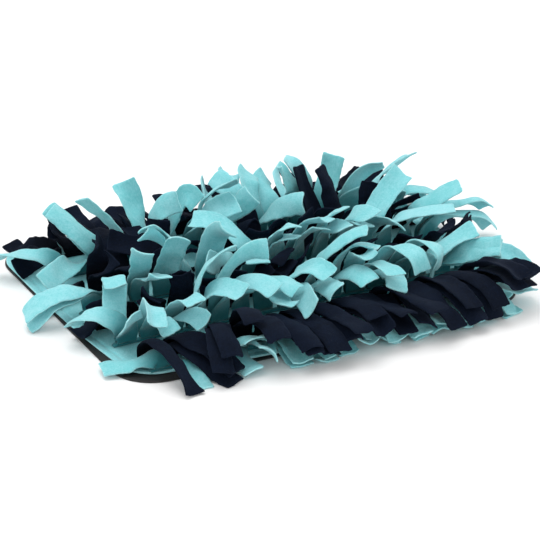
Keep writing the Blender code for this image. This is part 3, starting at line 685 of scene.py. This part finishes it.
def sheet_surface(outline, outward, low, high, ripple, edge_wave, seam, draw):
    """Points of a sheet: rings out from its middle over the top, round its edge, and back in underneath.

    The inner rings are the line EDGE_BAND inside the outline, drawn towards the middle. The outer ones follow
    the outline. The top rises and falls by the ripple and dips by the seam's depth along the seam's line. The
    edge is a half circle in section that wanders by edge_wave.
    """
    count = len(outline)
    wander = waves(draw, 1, np.arange(count) / count, WANDER_COUNTS, WANDER_SIZES)[0] * edge_wave
    outline = outline + outward * wander[:, None]
    inner = outline - outward * EDGE_BAND
    shares = np.linspace(SHEET_MIDDLE, 1.0, SHEET_RINGS)
    insides = np.array(SHEET_INSIDES)
    flat = np.concatenate([inner * shares[:, None, None], outline - outward * insides[:, None, None]])
    radius = (high - low) / 2
    turn = np.linspace(math.pi / 2, -math.pi / 2, 7)
    edge = outline + outward * (radius * (np.cos(turn) - 1.0))[:, None, None]
    rings = np.concatenate([flat, edge, flat[::-1]])
    heights = np.concatenate([np.full(len(flat), high), low + radius + radius * np.sin(turn),
                              np.full(len(flat), low)])
    points = np.concatenate([rings, np.broadcast_to(heights[:, None, None], (*rings.shape[:2], 1))], axis=-1)
    x, y = flat[..., 0], flat[..., 1]
    swell = (np.sin(x / 0.021 + 1.3 * np.sin(y / 0.05)) * np.sin(y / 0.027 + 0.8)
             + 0.5 * np.sin(x / 0.0093 + y / 0.013 + 2.0)) / 1.5
    inside = np.concatenate([np.full(len(shares), EDGE_BAND), insides])[:, None]
    dip = np.exp(-(((inside - SEAM_INSIDE) / SEAM_WIDTH) ** 2))
    points[: len(flat), :, 2] += ripple * swell * smooth(inside / 0.004) - seam * dip
    return points


def sheet_quads(rings, count):
    """Quads between the rings of a sheet, and fans of triangles to the two middle points after them."""
    index = np.arange(rings * count).reshape(rings, count)
    after = np.roll(index, -1, axis=1)
    sides = np.stack([index[:-1], after[:-1], after[1:], index[1:]], axis=-1).reshape(-1, 4)
    top, under = rings * count, rings * count + 1
    caps = [np.stack([index[ring], after[ring], np.full(count, hub), np.full(count, hub)], axis=-1)
            for ring, hub in ((0, top), (rings - 1, under))]
    return np.concatenate([sides, *caps])


def make_sheet(name, inset, ripple, edge_wave, seam, material, draw):
    """A sheet piece that fills its node's place, and its outline."""
    low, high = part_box(name)
    outline, outward = base_outline(OUTLINE_POINTS)
    outline = outline - outward * inset(outline)[:, None]
    points = sheet_surface(outline, outward, low[2], high[2], ripple, edge_wave, seam, draw)
    rings, count = points.shape[:2]
    hubs = np.array([points[0].mean(axis=0), points[-1].mean(axis=0)])
    flat = np.concatenate([points.reshape(-1, 3), hubs])
    gap = np.linalg.norm(points[..., :2] - outline, axis=-1).ravel()
    # Within about 1 mm of the edge, the rim gives the sheet the painted sheen; a reach of 1 keeps it clear of
    # the painted root shade.
    rim = np.concatenate([gap, (EDGE_BAND, EDGE_BAND)])
    piece = surface(name + "_cloth", flat, sheet_quads(rings, count),
                    {"cloth": flat + 3.0, "rim": rim, "tone": np.zeros(len(flat)),
                     "reach": np.ones(len(flat))}, material)
    return piece, outline


def area_of(outline):
    """Area inside a closed outline: half the sum of its cross products."""
    after = np.roll(outline, -1, axis=0)
    return abs(np.sum(outline[:, 0] * after[:, 1] - outline[:, 1] * after[:, 0])) / 2


class SNUFFLE_OT_backing(bpy.types.Operator):
    """Make the dark backing"""

    bl_idname = "snuffle.backing"
    bl_label = "Backing"

    def execute(self, context):
        piece, outline = make_sheet("backing", lambda points: np.zeros(len(points)), ripple=0.0,
                                    edge_wave=0.0003, seam=0.0, material=cloths()["backing"],
                                    draw=np.random.default_rng(1))
        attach(piece, "root")
        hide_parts("backing")
        size = outline.max(axis=0) - outline.min(axis=0)
        area_of(outline)
        return {"FINISHED"}


class SNUFFLE_OT_ground(bpy.types.Operator):
    """Make the fleece ground that the fringe is sewn to"""

    bl_idname = "snuffle.ground"
    bl_label = "Ground"

    def execute(self, context):
        piece, outline = make_sheet("ground", ground_inset, ripple=0.0004, edge_wave=0.0008, seam=0.0009,
                                    material=cloths()["aqua_fleece"], draw=np.random.default_rng(2))
        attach(piece, "root")
        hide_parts("ground")
        size = outline.max(axis=0) - outline.min(axis=0)
        area_of(outline)
        return {"FINISHED"}


class SNUFFLE_OT_fringe(bpy.types.Operator):
    """Make the rows of cut fleece strips on their headings"""

    bl_idname = "snuffle.fringe"
    bl_label = "Fringe"

    def execute(self, context):
        settings = context.scene.snuffle_fringe
        for number, node in enumerate(ROW_NODES):
            draw = np.random.default_rng((settings.seed, number))
            rings, low, high = strip_solids(node)
            strips = strip_surfaces(rings, settings, draw)
            heading = heading_surface(low, high)
            faces, start = [], 0
            for (points, *_), outline in ((strips, settings.across), (heading, HEADING_SIDES // 2 + 1)):
                sides, ends = closed_strips(points, outline)
                faces += [part + start for part in (sides, *ends)]
                start += points[..., 0].size
            both = [np.concatenate([a.reshape(-1, *a.shape[3:]), b.reshape(-1, *b.shape[3:])])
                    for a, b in zip(strips, heading)]
            piece = surface(node + "_fleece", both[0], np.concatenate(faces),
                            {"cloth": both[1], "rim": both[2], "tone": both[3], "reach": both[4]},
                            cloths()[ROW_SLOTS[node]])
            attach(piece, "root")
            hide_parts(node)
        return {"FINISHED"}


# Half the floor's side; each light's name, place, size and power; the point that the lights face; and the
# camera's sensor in millimetres.
FLOOR_SPAN = 6.0
LIGHTS = (("key", (-0.45, 0.25, 2.3), 1.5, 20.0), ("fill", (1.6, -1.4, 1.4), 1.8, 3.5))
LIT_POINT = (0.0, 0.0, 0.03)
SENSOR_WIDTH = 36.0


class SNUFFLE_OT_studio(bpy.types.Operator):
    """Set the floor, the lights and the camera"""

    bl_idname = "snuffle.studio"
    bl_label = "Studio"

    def execute(self, context):
        studio = context.scene.snuffle_studio
        mesh = bpy.data.meshes.new("floor")
        span = FLOOR_SPAN
        mesh.from_pydata([(-span, -span, 0.0), (span, -span, 0.0), (span, span, 0.0), (-span, span, 0.0)],
                         [], [(0, 1, 2, 3)])
        mesh.materials.append(plain("studio floor", (0.94, 0.94, 0.94), 0.8))
        floor = bpy.data.objects.new("floor", mesh)
        context.scene.collection.objects.link(floor)

        world = bpy.data.worlds.new("studio")
        world.use_nodes = True
        world.node_tree.nodes["Background"].inputs["Color"].default_value = (1.0, 1.0, 1.0, 1.0)
        world.node_tree.nodes["Background"].inputs["Strength"].default_value = 1.0
        context.scene.world = world
        context.scene.view_settings.view_transform = "Standard"
        for name, place, size, power in LIGHTS:
            lamp = bpy.data.lights.new(name, "AREA")
            lamp.size = size
            lamp.energy = power
            light = bpy.data.objects.new(name, lamp)
            light.matrix_world = Matrix.Translation(place) @ (
                Vector(LIT_POINT) - Vector(place)).to_track_quat("-Z", "Y").to_matrix().to_4x4()
            context.scene.collection.objects.link(light)

        turn, height = studio.turn, studio.height
        back = Vector((math.sin(turn) * math.cos(height), -math.cos(turn) * math.cos(height),
                       math.sin(height)))
        right = Vector((math.cos(turn), math.sin(turn), 0.0))
        up = back.cross(right)
        lens = bpy.data.cameras.new("camera")
        lens.lens = studio.lens
        lens.sensor_width = SENSOR_WIDTH
        camera = bpy.data.objects.new("camera", lens)
        frame_axes = Matrix((right, up, back)).transposed().to_4x4()
        camera.matrix_world = Matrix.Translation(Vector(studio.target) + back * studio.distance) @ frame_axes
        context.scene.collection.objects.link(camera)
        context.scene.camera = camera
        return {"FINISHED"}


class SNUFFLE_PT_mat(bpy.types.Panel):
    """Settings of the snuffle mat"""

    bl_label = "Snuffle mat"
    bl_space_type = "VIEW_3D"
    bl_region_type = "UI"
    bl_category = "Snuffle mat"

    def draw(self, context):
        scene = context.scene
        for group in (scene.snuffle_fringe, scene.snuffle_cloths, scene.snuffle_studio):
            box = self.layout.box()
            for name in group.__annotations__:
                box.prop(group, name)
        for operator in OPERATORS:
            self.layout.operator(operator.bl_idname)


OPERATORS = (SNUFFLE_OT_studio, SNUFFLE_OT_backing, SNUFFLE_OT_ground, SNUFFLE_OT_fringe)
CLASSES = (FringeSettings, ClothSettings, StudioSettings, *OPERATORS, SNUFFLE_PT_mat)


def register():
    for item in CLASSES:
        bpy.utils.register_class(item)
    bpy.types.Scene.snuffle_fringe = bpy.props.PointerProperty(type=FringeSettings)
    bpy.types.Scene.snuffle_cloths = bpy.props.PointerProperty(type=ClothSettings)
    bpy.types.Scene.snuffle_studio = bpy.props.PointerProperty(type=StudioSettings)


def unregister():
    del bpy.types.Scene.snuffle_fringe, bpy.types.Scene.snuffle_cloths, bpy.types.Scene.snuffle_studio
    for item in reversed(CLASSES):
        bpy.utils.unregister_class(item)


def main():
    register()
    for operator in (bpy.ops.snuffle.studio, bpy.ops.snuffle.backing, bpy.ops.snuffle.ground,
                     bpy.ops.snuffle.fringe):
        operator()


if __name__ == "__main__":
    main()
